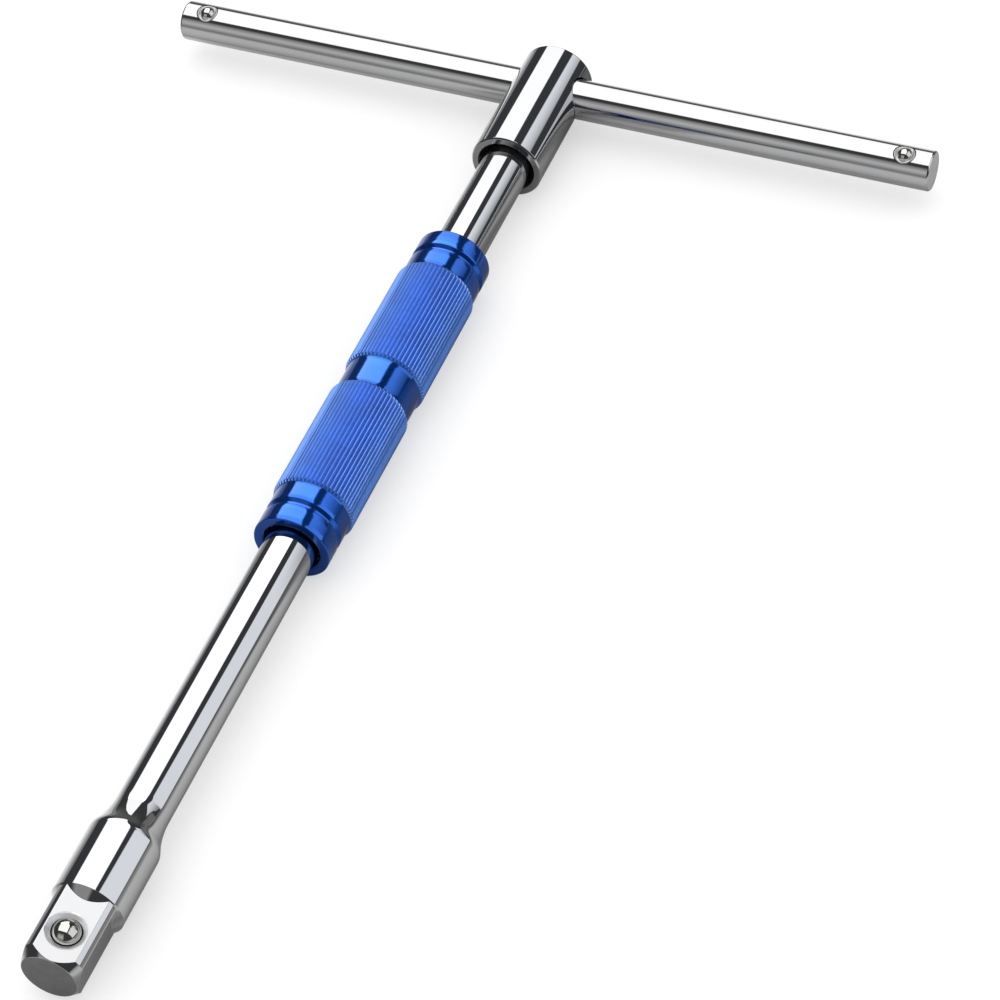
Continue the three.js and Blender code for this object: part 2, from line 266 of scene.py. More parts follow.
def weighted(o, angle=38.0, axis_surface=None):
    """Flat areas keep their own normal, round ones turn smoothly and edges sharper than angle stay sharp. axis_surface is a list of
    (point, axis, radius): faces on such a cylinder get its exact normals."""
    me = o.data
    me.set_sharp_from_angle(angle=math.radians(angle))
    m = o.modifiers.new("weighted", "WEIGHTED_NORMAL")
    m.mode, m.weight, m.keep_sharp = "FACE_AREA_WITH_ANGLE", 70, True
    bake_modifiers(o)
    me = o.data
    if axis_surface:
        n_loops = len(me.loops)
        cn = np.zeros(n_loops * 3, np.float32)
        me.corner_normals.foreach_get("vector", cn)
        cn = cn.reshape(-1, 3)
        co = np.zeros(len(me.vertices) * 3, np.float32)
        me.vertices.foreach_get("co", co)
        co = co.reshape(-1, 3).astype(float) / MM
        lv = np.zeros(n_loops, np.int32)
        me.loops.foreach_get("vertex_index", lv)
        fn = np.zeros(len(me.polygons) * 3, np.float32)
        me.polygons.foreach_get("normal", fn)
        fn = fn.reshape(-1, 3)
        start = np.zeros(len(me.polygons), np.int32)
        total = np.zeros(len(me.polygons), np.int32)
        me.polygons.foreach_get("loop_start", start)
        me.polygons.foreach_get("loop_total", total)
        face_of = np.repeat(np.arange(len(me.polygons)), total)
        for point, axis, radius in axis_surface:
            point, axis = np.asarray(point, float), unit(axis)
            rel = co - point
            rad = rel - np.outer(rel @ axis, axis)
            dist = np.linalg.norm(rad, axis=1)
            on = np.abs(dist - radius) < 0.004
            ok_face = np.ones(len(me.polygons), bool)
            bad = ~on[lv]
            ok_face[np.unique(face_of[bad])] = False
            n_rad = rad / np.maximum(dist, 1e-9)[:, None]
            along = np.abs((fn * unit(axis)).sum(1)) < 0.05
            ok_face &= along
            pick = ok_face[face_of]
            sign = np.sign((fn[face_of] * n_rad[lv]).sum(1))
            cn[pick] = (n_rad[lv] * sign[:, None])[pick]
        me.normals_split_custom_set([tuple(v) for v in cn.tolist()])
    return o


# ---------------------------------------------------------------- node helpers

class Nodes:
    def __init__(self, tree):
        self.t = tree

    def new(self, kind, **props):
        n = self.t.nodes.new(kind)
        for k, v in props.items():
            setattr(n, k, v)
        return n

    def put(self, socket, value):
        if isinstance(value, bpy.types.NodeSocket):
            self.t.links.new(value, socket)
        else:
            socket.default_value = value

    def math(self, op, a, b=None, c=None, clamp=False):
        n = self.new("ShaderNodeMath", operation=op, use_clamp=clamp)
        for i, v in enumerate((a, b, c)):
            if v is not None:
                self.put(n.inputs[i], v)
        return n.outputs[0]

    def add(self, a, b): return self.math("ADD", a, b)
    def sub(self, a, b): return self.math("SUBTRACT", a, b)
    def mul(self, a, b): return self.math("MULTIPLY", a, b)
    def div(self, a, b): return self.math("DIVIDE", a, b)

    def ramp(self, x, lo, hi, a=0.0, b=1.0, smooth=True):
        n = self.new("ShaderNodeMapRange", clamp=True, interpolation_type="SMOOTHSTEP" if smooth else "LINEAR")
        for i, v in enumerate((x, lo, hi, a, b)):
            self.put(n.inputs[i], v)
        return n.outputs[0]

    def band(self, x, lo, hi, soft):
        """1 between lo and hi, falling to 0 over soft at each end."""
        up = self.ramp(x, self.sub(lo, soft) if isinstance(lo, bpy.types.NodeSocket) else lo - soft,
                       self.add(lo, soft) if isinstance(lo, bpy.types.NodeSocket) else lo + soft)
        down = self.ramp(x, self.sub(hi, soft) if isinstance(hi, bpy.types.NodeSocket) else hi - soft,
                         self.add(hi, soft) if isinstance(hi, bpy.types.NodeSocket) else hi + soft, 1.0, 0.0)
        return self.mul(up, down)

    def table(self, x, points):
        """Piecewise linear curve through (x, value) points, held constant beyond its ends."""
        x0, x1 = points[0][0], points[-1][0]
        v0, v1 = min(p[1] for p in points), max(p[1] for p in points)
        n = self.new("ShaderNodeValToRGB")
        n.color_ramp.interpolation = "LINEAR"
        el = n.color_ramp.elements
        el.remove(el[1])
        for i, (px, pv) in enumerate(points):
            e = el[0] if i == 0 else el.new((px - x0) / (x1 - x0))
            e.position = (px - x0) / (x1 - x0)
            g = (pv - v0) / (v1 - v0)
            e.color = (g, g, g, 1.0)
        self.put(n.inputs[0], self.ramp(x, x0, x1, smooth=False))
        return self.add(self.mul(n.outputs[0], v1 - v0), v0)

    def mix(self, fac, a, b, blend="MIX"):
        n = self.new("ShaderNodeMix", data_type="RGBA", blend_type=blend, clamp_factor=True)
        self.put(n.inputs[0], fac)
        self.put(n.inputs[6], a)
        self.put(n.inputs[7], b)
        return n.outputs[2]

    def noise(self, vector, scale, detail=3.0, rough=0.5, out="Fac", distortion=0.0):
        n = self.new("ShaderNodeTexNoise")
        self.put(n.inputs["Vector"], vector)
        self.put(n.inputs["Scale"], scale)
        self.put(n.inputs["Detail"], detail)
        self.put(n.inputs["Roughness"], rough)
        self.put(n.inputs["Distortion"], distortion)
        return n.outputs[0 if out == "Fac" else 1]

    def mapping(self, vector, scale=(1, 1, 1), rotation=(0, 0, 0), location=(0, 0, 0)):
        n = self.new("ShaderNodeMapping")
        self.put(n.inputs["Vector"], vector)
        n.inputs["Scale"].default_value = scale
        n.inputs["Rotation"].default_value = rotation
        n.inputs["Location"].default_value = location
        return n.outputs[0]

    def bump(self, height, strength, distance, normal=None):
        n = self.new("ShaderNodeBump")
        self.put(n.inputs["Height"], height)
        self.put(n.inputs["Strength"], strength)
        self.put(n.inputs["Distance"], distance)
        if normal is not None:
            self.put(n.inputs["Normal"], normal)
        return n.outputs[0]


def material(name):
    m = bpy.data.materials.new(name)
    m.use_nodes = True
    t = m.node_tree
    bsdf = next(n for n in t.nodes if n.type == "BSDF_PRINCIPLED")
    k = Nodes(t)
    pos = k.new("ShaderNodeTexCoord").outputs["Object"]
    return m, k, bsdf, pos


def grey(v, tint=(1, 1, 1)):
    return (v * tint[0], v * tint[1], v * tint[2], 1.0)


def chrome_material(name="chrome_plate", base=0.60, rough=0.035, wear=1.0):
    m, k, b, pos = material(name)
    big = k.noise(pos, 45.0, 2.0)
    fine = k.noise(pos, 900.0, 4.0, 0.6)
    # hairline wiping marks, long along the turned axes
    hair = k.noise(k.mapping(pos, (2600, 90, 2600)), 1.0, 2.0, 0.7)
    hair2 = k.noise(k.mapping(pos, (60, 3000, 3000)), 1.0, 2.0, 0.7)
    marks = k.math("MAXIMUM", k.ramp(hair, 0.70, 0.80), k.ramp(hair2, 0.74, 0.84))
    smudge = k.ramp(k.noise(pos, 120.0, 5.0, 0.62, distortion=0.6), 0.45, 0.75)
    col = k.mix(k.ramp(big, 0.3, 0.7), grey(base * 0.975, (1.0, 1.0, 1.01)), grey(base * 1.02, (0.995, 1.0, 1.015)))
    col = k.mix(k.mul(smudge, 0.05), col, grey(base * 0.93, (1.0, 0.995, 0.985)))
    k.put(b.inputs["Base Color"], col)
    k.put(b.inputs["Metallic"], 1.0)
    r = k.add(rough, k.mul(smudge, 0.02))
    r = k.add(r, k.mul(marks, 0.05))
    k.put(b.inputs["Roughness"], r)
    n = k.bump(big, 0.05, 0.00006)
    n = k.bump(fine, 0.05, 0.0000025, n)
    k.put(b.inputs["Normal"], n)
    return m


def turned_face_material(name="chrome_turned_face", base=0.42):
    m, k, b, pos = material(name)
    sep = k.new("ShaderNodeSeparateXYZ")
    k.put(sep.inputs[0], pos)
    radius = k.math("SQRT", k.add(k.mul(sep.outputs[0], sep.outputs[0]), k.mul(sep.outputs[2], sep.outputs[2])))
    comb = k.new("ShaderNodeCombineXYZ")
    k.put(comb.inputs[0], k.mul(radius, 1.0))
    rings = k.noise(comb.outputs[0], 5200.0, 3.0, 0.7)
    cloud = k.noise(pos, 380.0, 4.0, 0.6)
    k.put(b.inputs["Base Color"], k.mix(k.ramp(cloud, 0.3, 0.7), grey(base * 0.92), grey(base * 1.05)))
    k.put(b.inputs["Metallic"], 1.0)
    k.put(b.inputs["Roughness"], k.add(0.16, k.mul(cloud, 0.10)))
    k.put(b.inputs["Normal"], k.bump(rings, 0.18, 0.00001))
    return m


def anodised_material(name="blue_anodised", turned_rings=True, rough=0.10, colour=(0.008, 0.120, 0.62), coat_rough=0.05, coat_ior=1.38):
    m, k, b, pos = material(name)
    sep = k.new("ShaderNodeSeparateXYZ")
    k.put(sep.inputs[0], pos)
    comb = k.new("ShaderNodeCombineXYZ")
    k.put(comb.inputs[1], sep.outputs[1])
    rings = k.noise(comb.outputs[0], 7000.0, 3.0, 0.7)
    cloud = k.noise(pos, 160.0, 4.0, 0.55)
    fine = k.noise(pos, 2400.0, 3.0, 0.6)
    c0 = tuple(c * 0.90 for c in colour) + (1.0,)
    c1 = tuple(min(1.0, c * 1.08) for c in colour) + (1.0,)
    col = k.mix(k.ramp(cloud, 0.3, 0.7), c0, c1)
    col = k.mix(k.mul(k.ramp(fine, 0.55, 0.8), 0.10), col, (colour[0] * 1.8, colour[1] * 1.4, min(1, colour[2] * 1.1), 1))
    k.put(b.inputs["Base Color"], col)
    k.put(b.inputs["Metallic"], 0.94)
    k.put(b.inputs["Roughness"], k.add(rough, k.mul(cloud, 0.04)))
    k.put(b.inputs["Specular IOR Level"], 0.3)
    k.put(b.inputs["Coat Weight"], 1.0)
    k.put(b.inputs["Coat Roughness"], coat_rough)
    k.put(b.inputs["Coat IOR"], coat_ior)
    if turned_rings:
        k.put(b.inputs["Normal"], k.bump(rings, 0.05, 0.000004))
    else:
        k.put(b.inputs["Normal"], k.bump(fine, 0.10, 0.000004))
    return m


def steel_material(name, base, tint, rough, grain=700.0, bump=0.1, cloud_mix=0.12):
    m, k, b, pos = material(name)
    cloud = k.noise(pos, grain * 0.3, 4.0, 0.6)
    fine = k.noise(pos, grain * 4, 3.0, 0.6)
    k.put(b.inputs["Base Color"], k.mix(k.ramp(cloud, 0.3, 0.7), grey(base * (1 - cloud_mix), tint), grey(base * (1 + cloud_mix), tint)))
    k.put(b.inputs["Metallic"], 1.0)
    k.put(b.inputs["Roughness"], k.add(rough, k.mul(k.ramp(fine, 0.4, 0.8), rough * 0.5)))
    k.put(b.inputs["Normal"], k.bump(fine, bump, 0.000003))
    return m


def ball_material(name="ball_steel"):
    """Hard polished ball, painted darker towards its rim where its surface turns from the view: painted shade and dark
    reflection at its edge.
    """
    m, k, b, pos = material(name)
    cloud = k.noise(pos, 220.0, 3.0, 0.5)
    fine = k.noise(pos, 2600.0, 3.0, 0.6)
    face = k.new("ShaderNodeLayerWeight")
    k.put(face.inputs["Blend"], 0.5)
    # painted shade: the colour turns dark olive where the ball's surface turns away from the view
    rim = k.ramp(face.outputs["Facing"], 0.42, 0.80)
    col = k.mix(k.ramp(cloud, 0.3, 0.7), grey(0.56, (1.0, 0.99, 0.91)), grey(0.60, (1.0, 0.99, 0.93)))
    k.put(b.inputs["Base Color"], k.mix(rim, col, grey(0.17, (1.0, 0.98, 0.86))))
    k.put(b.inputs["Metallic"], 1.0)
    k.put(b.inputs["Roughness"], k.add(0.05, k.mul(k.ramp(fine, 0.5, 0.8), 0.04)))
    k.put(b.inputs["Normal"], k.bump(fine, 0.02, 0.000002))
    return m


def plastic_material(name, base, rough, grain, bump, distance):
    m, k, b, pos = material(name)
    cloud = k.noise(pos, grain * 0.1, 4.0, 0.6)
    fine = k.noise(pos, grain, 4.0, 0.65)
    k.put(b.inputs["Base Color"], k.mix(k.ramp(cloud, 0.3, 0.7), grey(base * 0.8), grey(base * 1.25)))
    k.put(b.inputs["Roughness"], k.add(rough, k.mul(fine, 0.12)))
    k.put(b.inputs["Normal"], k.bump(fine, bump, distance))
    return m


chrome = chrome_material()
chrome_flat = chrome_material("chrome_ground_flat", 0.53, 0.05)
face_steel = turned_face_material()
blue = anodised_material()
blue_rib = anodised_material("blue_anodised_ribs", turned_rings=False, rough=0.33, colour=(0.010, 0.175, 0.70), coat_rough=0.28, coat_ior=2.0)
# painted shade: bores and recess walls get a near-black metal that stands in for the shade inside them
bore_shade_steel = steel_material("chrome_bore_painted_shade", 0.10, (1.0, 1.0, 1.03), 0.30, 600.0, 0.15)
sink_steel = steel_material("countersink_steel", 0.62, (1.0, 1.0, 1.02), 0.42, 900.0, 0.15)
ball_steel = ball_material()
cup_steel = steel_material("plunger_steel", 0.50, (1.0, 1.0, 1.0), 0.38, 900.0, 0.15)
end_steel = turned_face_material("chrome_bar_end", 0.72)
spring_steel = steel_material("spring_steel", 0.30, (0.98, 1.0, 1.04), 0.28, 800.0, 0.2)
pin_steel = steel_material("pin_steel", 0.5, (1.0, 0.99, 0.97), 0.14, 900.0, 0.12)
acetal = plastic_material("black_acetal", 0.018, 0.38, 2500.0, 0.12, 0.00001)
rubber = plastic_material("black_rubber", 0.022, 0.68, 1600.0, 0.35, 0.00002)


def finish_piece(o, body, node, slot, *mats):
    if not o.data.materials:
        for m in mats:
            o.data.materials.append(m)
    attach(o, body)
    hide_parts(node)
    return o


def paint_faces(o, index, test):
    """Gives material index to the faces whose centre and normal (mm, unit) pass the test."""
    for p in o.data.polygons:
        if test(np.array(p.center) / MM, np.array(p.normal)):
            p.material_index = index


# ---------------------------------------------------------------- shank: square drive, body, neck and rod

def half_columns():
    """Angles from the middle of a flat to the middle of a corner, finer where flat and corner meet."""
    return ([2.5 * i for i in range(0, 14)] +
            [34.2, 35.2, 35.8, 36.15, 36.5, 36.85, 37.2, 37.9, 39.2, 41.0, 43.0])


def shank_columns():
    h = half_columns()
    q = [-45.0] + [-a for a in reversed(h) if a > 0] + h
    return np.radians(sorted(a + 90 * i for i in range(4) for a in q))


def soft_min(a, b, k):
    h = min(1.0, max(0.0, 0.5 + 0.5 * (b - a) / k))
    return b + (a - b) * h - k * h * (1 - h)


def neck_profile():
    ys = np.arange(33.0, 48.0, 0.05)
    pts = [(33.0, 8.13), (35.25, 8.13), (35.75, 7.98), (36.3, 7.76), (37.1, 7.40), (38.0, 7.06), (38.9, 6.79),
           (40.0, 6.52), (41.2, 6.30), (42.4, 6.15), (43.6, 6.07), (44.6, 6.05), (48.0, 6.05)]
    r = np.interp(ys, [p[0] for p in pts], [p[1] for p in pts])
    kern = np.exp(-0.5 * (np.arange(-30, 31) * 0.05 / 0.42) ** 2)
    kern /= kern.sum()
    rp = np.convolve(np.pad(r, 30, mode="edge"), kern, mode="valid")
    keep = np.concatenate([np.arange(33.7, 46.2, 0.30)])
    return [(float(np.interp(y, ys, rp)), float(y)) for y in keep]


def make_shank():
    slope = 1.2
    sh_y = 15.75
    tip_r, tip_slope = 6.2, 1.2
    angles = shank_columns()
    e0 = BALL_DIR
    e1 = np.cross([0, 1, 0], e0)
    if e1[0] < 0:
        e1 = -e1
    r_end, rings = None, []
    neck = neck_profile()
    ring_y = [G0 + 2.8, G1 - 2.8]
    rod_end = 272.0

    def tail():
        rows = [(BODY_R, 20.0), (BODY_R, 25.0), (BODY_R, 30.0)]
        rows += neck
        last = neck[-1][1]
        for y in (60.0, 80.0, 100.0):
            rows.append((ROD_R, y))
        prev = 118.0
        rows.append((ROD_R, prev))
        for gy in ring_y:
            rows += corner([(ROD_R, gy - 3), (ROD_R, gy - 0.6, 0.08), (5.45, gy - 0.6, 0.15), (5.45, gy + 0.6, 0.15),
                            (ROD_R, gy + 0.6, 0.08), (ROD_R, gy + 3)], 3)
        rows += [(ROD_R, 222.0), (ROD_R, 235.0), (ROD_R, 248.0), (ROD_R, 256.0), (ROD_R, 259.0), (ROD_R, 265.0)]
        rows += corner([(ROD_R, 268.0), (ROD_R, rod_end - 0.6, 0.1), (ROD_R - 0.5, rod_end, 0.1), (2.0, rod_end)], 3)
        rows.append((0.0, rod_end))
        return rows

    tail_rows = tail()
    columns = []
    for a in angles:
        t = (math.degrees(a) + 45) % 90 - 45
        sq = FLAT / math.cos(math.radians(t))
        r = soft_min(sq, CORNER_R, 0.10)
        y_tip = (r - tip_r) * tip_slope
        y_sh = sh_y + slope * (r - FLAT)
        y_body = sh_y + slope * (BODY_R - FLAT)
        path = [(0.0, 0.0), (2.0, 0.0), (tip_r, 0.0, 0.30), (r, y_tip, 0.16)]
        path += [(r, y_sh, 0.10), (BODY_R, y_body, 0.15), (BODY_R, 19.0)]
        pts = []
        # rounded corners, the same count of points on every column
        base = [np.array(p[:2]) for p in path]
        pts.append(tuple(base[0]))
        pts.append(tuple(base[1]))
        for i in range(2, len(path) - 1):
            seg = corner([tuple(base[i - 1]), (*base[i], path[i][2]), tuple(base[i + 1])], 4)[1:-1]
            if len(seg) == 1:
                seg = seg * 5
            pts += seg
            if i == 3:      # rows along the flat, for an even mesh
                p, q = pts[-1], (r, y_sh - 0.25)
                for f in (0.25, 0.5, 0.75):
                    pts.append((r, p[1] + (q[1] - p[1]) * f))
        pts.append(tuple(base[-1]))
        pts += tail_rows
        columns.append(pts)
    n_rows = len(columns[0])
    assert all(len(c) == n_rows for c in columns)
    verts = []
    for a, c in zip(angles, columns):
        d = math.cos(a) * e0 + math.sin(a) * e1
        verts += [d * r + np.array([0, y, 0]) for r, y in c]
    n = len(angles)
    faces = []
    for i in range(n):
        j = (i + 1) % n
        for k in range(n_rows - 1):
            faces.append([i * n_rows + k, i * n_rows + k + 1, j * n_rows + k + 1, j * n_rows + k])
    o = clean(new_object("shank_turned", np.array(verts), faces), dist=1e-3)
    hole = turned("tool", corner([(0.0, -4.75), (3.3, -3.9), (3.3, 5.2, 0.1), (3.32, 5.55, 0.05), (3.32, 5.80, 0.03),
                                  (4.19, 6.27, 0.12), (4.55, 6.352, 0.05), (4.62, 7.5), (0.0, 7.5)], 3), 120,
                  place=stand((0, DRIVE_BALL_Y, 0), BALL_DIR))
    pin = turned("tool2", [(0.0, 0.0), (1.6, 0.0), (1.6, 30.0), (0.0, 30.0)], 48,
                 place=stand((0, 262.0, 10.4 - HEAD_R), (0, 0, -1)))
    cut(o, hole, pin)
    clean(o, dist=2e-4)
    o.data.materials.append(chrome)
    o.data.materials.append(face_steel)
    o.data.materials.append(sink_steel)
    o.data.materials.append(bore_shade_steel)
    o.data.materials.append(chrome_flat)
    weighted(o, 32, [((0, 0, 0), (0, 1, 0), ROD_R), ((0, 0, 0), (0, 1, 0), BODY_R)])
    paint_faces(o, 1, lambda c, nrm: (c[1] < 0.02 and nrm[1] < -0.95) or c[1] > 271.5)
    axis_r = lambda c: np.linalg.norm(np.cross(c - np.array([0, DRIVE_BALL_Y, 0]), BALL_DIR))
    paint_faces(o, 4, lambda c, nrm: 0.1 < c[1] < 16.5 and max(abs(nrm @ e0), abs(nrm @ e1)) > 0.9995)
    paint_faces(o, 2, lambda c, nrm: c[1] < 12 and axis_r(c) < 4.6 and (c @ BALL_DIR) < 6.345)
    # painted shade: the drive ball's bore takes the near-black metal
    paint_faces(o, 3, lambda c, nrm: c[1] < 12 and axis_r(c) < 3.36 and (c @ BALL_DIR) < 5.81)
    return finish_piece(o, "shank_assembly", "shank", "chrome_plate")


shank = make_shank()


# ---------------------------------------------------------------- balls and springs

def ball(name, centre, direction, radius, body, node):
    """Ground steel ball."""
    rows = []
    for i in range(0, 49):
        t = math.pi * i / 48
        r = radius * math.sin(t)
        rows.append((max(0.0, r), -radius * math.cos(t)))
    rows[0], rows[-1] = (0.0, -radius), (0.0, radius)
    o = turned(name, rows, 96, place=stand(centre, direction))
    weighted(o, 60)
    return finish_piece(o, body, node, "ball_steel", ball_steel)


def coil(name, base, direction, radius, wire, y0, y1, turns, body, node):
    place = stand(base, direction)
    n = int(turns * 40)
    t = np.linspace(0, 1, n)
    e = 0.8 / turns
    u = np.where(t < e, 0.10 * t / e, np.where(t > 1 - e, 1 - 0.10 * (1 - t) / e, 0.10 + 0.80 * (t - e) / (1 - 2 * e)))
    a = 2 * math.pi * turns * t
    pts = np.stack([radius * np.cos(a), y0 + wire + (y1 - y0 - 2 * wire) * u, radius * np.sin(a)], 1)
    o = sweep(name, place(pts), wire, 12)
    weighted(o, 70)
    finish_piece(o, body, node, "spring_steel", spring_steel)
    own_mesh(o)
    return o


drive_base = (0, DRIVE_BALL_Y, 0)
ball("drive_ball_ground", np.array(drive_base) + BALL_DIR * 5.15, BALL_DIR, 3.175, "drive_ball", "drive_ball")
coil("drive_ball_coil", drive_base, BALL_DIR, 2.25, 0.35, -3.85, 2.1, 4.5, "shank_assembly", "drive_ball_spring")


# ---------------------------------------------------------------- grip sleeve

def make_grip():
    ribs = 60
    per = [0.0, 0.11, 0.20, 0.31, 0.42, 0.50, 0.58, 0.69, 0.80, 0.89]
    rr = [9.22, 9.29, 9.45, 9.66, 9.765, 9.78, 9.765, 9.66, 9.45, 9.29]
    view_x, view_z = 0.427, 0.904
    a0 = math.atan2(view_x, view_z)      # a rib's crest stands near this side
    angles, crest = [], []
    for i in range(ribs):
        for p, r in zip(per, rr):
            angles.append(a0 + math.radians(0.4) + 2 * math.pi * (i + p - 0.5) / ribs)
            crest.append(r)
    collar, waist, groove = 9.12, 9.10, 8.35

    def rows(r_rib):
        out = []
        def flat_to(points, seg=3):
            out.extend(corner(points, seg))
        # inside, from the upper bore to the lower mouth
        out.append((6.4, G0 + 40))
        out.extend(corner([(6.4, G0 + 30), (6.4, G0 + 14.3, 0.05), (6.85, G0 + 14.3, 0.1), (6.85, G0 + 7)], 2))
        out.extend(corner([(6.85, G0 + 5), (6.85, G0 + 0.25, 0.06), (7.1, G0, 0.08), (8.0, G0)], 2))
        out.extend(corner([(8.2, G0), (collar, G0, 0.30), (collar, G0 + 1.5)], 5))
        out.extend(corner([(collar, 125.0), (collar, 126.1, 0.10), (groove, 126.85, 0.10), (groove, 127.4, 0.10),
                           (collar, 128.1, 0.10), (collar, 129.2)], 3))
        out.append((collar, 131.5))
        # lower ribs, cut back at 43 degrees at their ends
        y_a = 132.95 + (r_rib - collar) * 0.70 / 0.66
        y_b = 165.95 - (r_rib - waist) * 0.85 / 0.68
        out.extend(corner([(collar, 132.4), (collar, 132.95, 0.04), (r_rib, y_a, 0.07), (r_rib, 136.0)], 3))
        out.append((r_rib, 143.0))
        out.append((r_rib, 150.0))
        out.append((r_rib, 157.0))
        out.extend(corner([(r_rib, 162.0), (r_rib, y_b, 0.07), (waist, 165.95, 0.04), (waist, 167.0)], 3))
        out.append((waist, 170.0))
        y_c = 174.15 + (r_rib - waist) * 0.70 / 0.68
        y_d = 206.45 - (r_rib - collar) * 0.85 / 0.66
        out.extend(corner([(waist, 173.0), (waist, 174.15, 0.04), (r_rib, y_c, 0.07), (r_rib, 177.0)], 3))
        out.append((r_rib, 184.0))
        out.append((r_rib, 190.0))
        out.append((r_rib, 196.0))
        out.extend(corner([(r_rib, 202.0), (r_rib, y_d, 0.07), (collar, 206.45, 0.04), (collar, 207.4)], 3))
        out.append((collar, 209.0))
        out.extend(corner([(collar, 210.2), (collar, 211.3, 0.10), (groove, 212.05, 0.10), (groove, 212.6, 0.10),
                           (collar, 213.3, 0.10), (collar, 214.4)], 3))
        out.extend(corner([(collar, 215.5), (collar, G1, 0.80), (8.0, G1)], 7))
        out.extend(corner([(7.6, G1), (7.1, G1, 0.08), (6.85, G1 - 0.25, 0.06), (6.85, G1 - 5)], 2))
        out.extend(corner([(6.85, G1 - 7), (6.85, G1 - 14.3, 0.1), (6.4, G1 - 14.3, 0.05), (6.4, G1 - 30)], 2))
        return out

    cols = [rows(r) for r in crest]
    n_rows = len(cols[0])
    assert all(len(c) == n_rows for c in cols)
    verts = []
    for a, c in zip(angles, cols):
        verts += [(r * math.sin(a), y, r * math.cos(a)) for r, y in c]
    n = len(angles)
    faces = []
    for i in range(n):
        j = (i + 1) % n
        for k in range(n_rows):
            l = (k + 1) % n_rows
            faces.append([i * n_rows + k, i * n_rows + l, j * n_rows + l, j * n_rows + k])
    o = clean(new_object("grip_sleeve_turned", np.array(verts), faces), dist=1e-4)
    o.data.materials.append(blue)
    o.data.materials.append(blue_rib)
    weighted(o, 40)
    paint_faces(o, 1, lambda c, nrm: (133.0 < c[1] < 165.9 or 174.2 < c[1] < 206.4) and math.hypot(c[0], c[2]) > 9.13)
    return finish_piece(o, "grip_assembly", "grip_sleeve", "blue_anodised")


grip = make_grip()


def ring_piece(name, r_in, r_out, y0, y1, bev, body, node, slot, mat, columns=96):
    prof = corner([(r_in, (y0 + y1) / 2), (r_in, y0, bev), (r_out, y0, bev), (r_out, y1, bev), (r_in, y1, bev),
                   (r_in, (y0 + y1) / 2)], 3)[:-1]
    o = turned(name, prof, columns, closed=True)
    weighted(o, 40)
    return finish_piece(o, body, node, slot, mat)


for label, y0, y1 in (("lower", G0 + 4.1, G0 + 14.1), ("upper", G1 - 14.1, G1 - 4.1)):
    ring_piece(f"{label}_bush_moulded", 6.2, 6.78, y0, y1, 0.12, "grip_assembly", f"{label}_bush", "black_plastic", acetal)
for label, y0, y1 in (("lower", G0 + 3.45, G0 + 3.95), ("upper", G1 - 3.95, G1 - 3.45)):
    ring_piece(f"{label}_thrust_washer_stamped", 6.17, 6.72, y0, y1, 0.06, "shank_assembly", f"{label}_thrust_washer",
               "spring_steel", spring_steel)
for label, y in (("lower", G0 + 2.8), ("upper", G1 - 2.8)):
    gap = math.radians(50)
    t = np.linspace(gap / 2 + math.radians(2), 2 * math.pi - gap / 2 - math.radians(2), 120)
    path = np.stack([6.0 * np.cos(t), np.full_like(t, y), 6.0 * np.sin(t)], 1)
    o = sweep(f"{label}_snap_ring_wire", path, 0.45, 16)
    weighted(o, 70)
    finish_piece(o, "shank_assembly", f"{label}_snap_ring", "spring_steel", spring_steel)


# ---------------------------------------------------------------- head, its pin and the ring that drags on the bar

def saddle_cutter(columns=160):
    """Cross bore whose rim keeps an even chamfer where it breaks out of the round head."""
    bore, chamfer, far = 5.2, 0.40, 12.0
    verts = []
    rows_per = None
    for i in range(columns):
        a = 2 * math.pi * i / columns
        c, s = math.cos(a), math.sin(a)          # c along Y, s along Z
        def surf(r):
            return math.sqrt(max(0.0, HEAD_R ** 2 - (r * s) ** 2))
        def side(sign):
            x0 = surf(bore) - chamfer
            return [(sign * x0, bore), (sign * (x0 + 0.06), bore + 0.03), (sign * (x0 + 0.6), bore + 0.57), (sign * far, bore + 0.57 + (far - x0 - 0.6) * 0.9)]
        prof = [(x, r) for x, r in reversed(side(-1))] + [(-3.0, bore), (-1.3, bore), (-1.3, 6.4), (1.3, 6.4), (1.3, bore), (3.0, bore)] + side(1)
        rows_per = len(prof)
        verts += [(x, CROSS_Y + r * c, r * s) for x, r in prof]
    faces = []
    for i in range(columns):
        j = (i + 1) % columns
        for k in range(rows_per - 1):
            faces.append([i * rows_per + k, i * rows_per + k + 1, j * rows_per + k + 1, j * rows_per + k])
    faces.append([i * rows_per for i in range(columns)])
    faces.append([i * rows_per + rows_per - 1 for i in reversed(range(columns))])
    return clean(new_object("tool", np.array(verts), faces))


